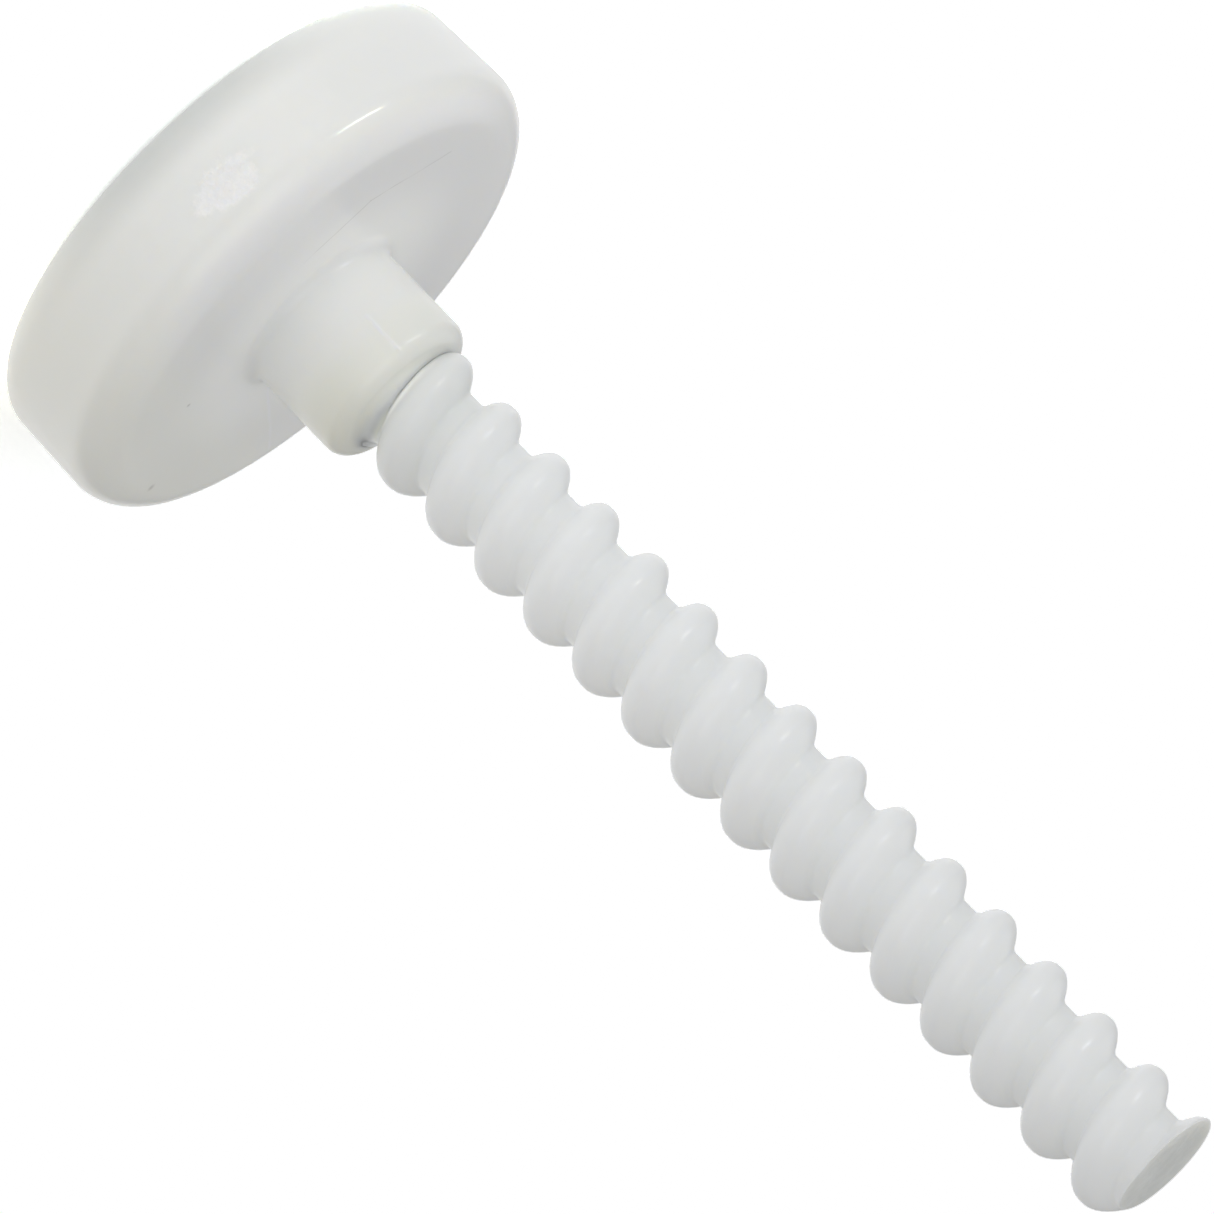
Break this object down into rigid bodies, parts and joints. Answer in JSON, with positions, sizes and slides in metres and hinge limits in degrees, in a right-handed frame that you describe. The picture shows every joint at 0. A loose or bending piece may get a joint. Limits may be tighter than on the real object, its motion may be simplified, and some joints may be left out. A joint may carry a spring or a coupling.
{
  "type": "wall anchor",
  "caption": "Mushroom-head wall and panel anchor: a thick round head with a short threaded boss, and a coarse right-hand round-threaded rod screwed into it and cut off square.",
  "frame": {"origin": "centre of the head's flat outer face, on the anchor's axis; the anchor stands on this face with the rod pointing up", "axes": "+Z along the axis from the head to the rod's cut end; the thread's crest passes the +X side at the rod's inner end, 4.4 mm above the outer face"},
  "size_m": [0.0502, 0.0502, 0.1186],
  "materials": {
    "head_plastic": "natural white nylon, slightly translucent, satin",
    "rod_plastic": "natural white nylon, slightly cooler than the head, translucent, satin"
  },
  "bodies": {
    "root": {"mushroom_head": "head_plastic", "threaded_rod": "rod_plastic"}
  },
  "joints": []
}
